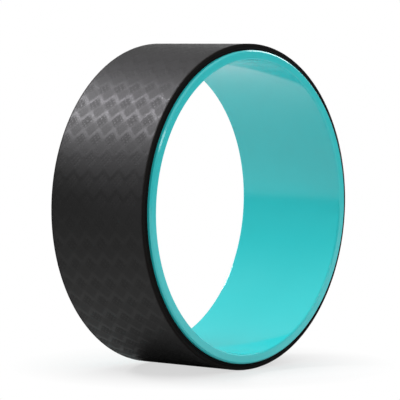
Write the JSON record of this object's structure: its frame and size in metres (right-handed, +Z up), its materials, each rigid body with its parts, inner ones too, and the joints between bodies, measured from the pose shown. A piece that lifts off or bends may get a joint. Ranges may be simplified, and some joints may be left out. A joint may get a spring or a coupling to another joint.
{
  "type": "yoga wheel",
  "caption": "Upright hoop of rigid plastic wrapped in an embossed foam mat, rolled under the back or held in the hands for stretches and balance work.",
  "frame": {"origin": "middle of the wheel: on the hoop's axis, halfway between the two rim faces", "axes": "+Y along the hoop's axis, +Z up with the wheel standing on its tread, +X along the way it rolls"},
  "size_m": [0.33, 0.1296, 0.33],
  "materials": {
    "hoop_plastic": "polished teal",
    "tread_foam": "matt black, embossed",
    "cushion_foam": "matt black, cut edge",
    "glue": "dull"
  },
  "bodies": {
    "root": {"hoop": "hoop_plastic", "mat_glue": "glue", "cushion_ply": "cushion_foam", "tread_ply": "tread_foam", "seam_glue": "glue"}
  },
  "joints": []
}
